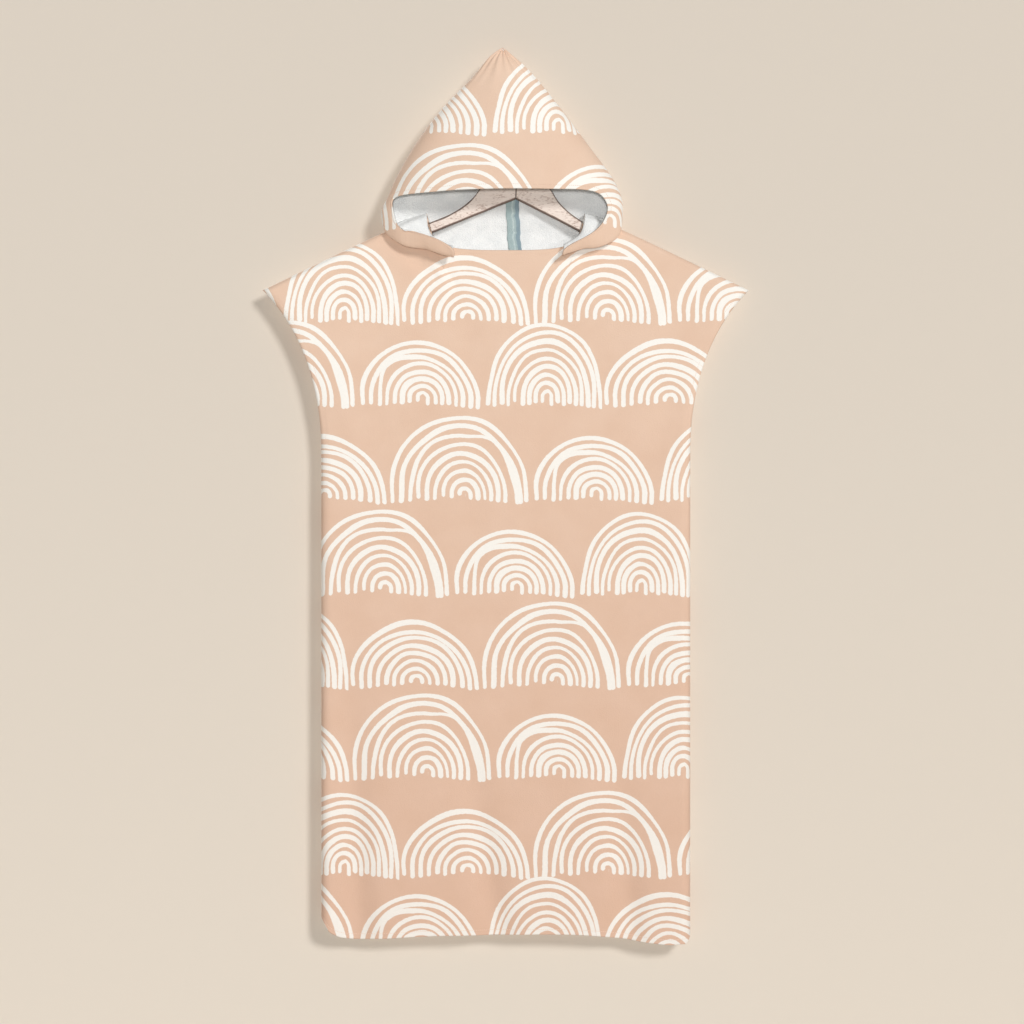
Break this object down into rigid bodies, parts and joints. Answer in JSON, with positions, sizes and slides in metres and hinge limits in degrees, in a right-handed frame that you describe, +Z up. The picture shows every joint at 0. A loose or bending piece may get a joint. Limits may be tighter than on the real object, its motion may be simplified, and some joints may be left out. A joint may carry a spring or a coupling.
{
  "type": "hooded bath poncho on a wooden hanger",
  "caption": "Sleeveless pull-on towelling poncho with a pointed hood, printed with rows of nested arches, hanging flat from a pale wooden clothes hanger by its hook",
  "frame": {"origin": "the inner top of the hanger's hook, where a peg or rail carries it", "axes": "+Z up, the front of the garment towards -Y, the width along X"},
  "size_m": [0.728, 0.0855, 1.3416],
  "materials": {
    "printed_terry": "peach cotton terry velour with a white print, white looped inside",
    "seam_tape": "teal woven binding",
    "hanger_wood": "whitewashed and rubbed back",
    "hook_wire": "satin"
  },
  "bodies": {
    "root": {"front_panel": "printed_terry", "back_panel": "printed_terry", "hood": "printed_terry", "seam_tape": "seam_tape", "hanger_arm_left": "hanger_wood", "hanger_arm_right": "hanger_wood", "hanger_hook": "hook_wire"}
  },
  "joints": []
}
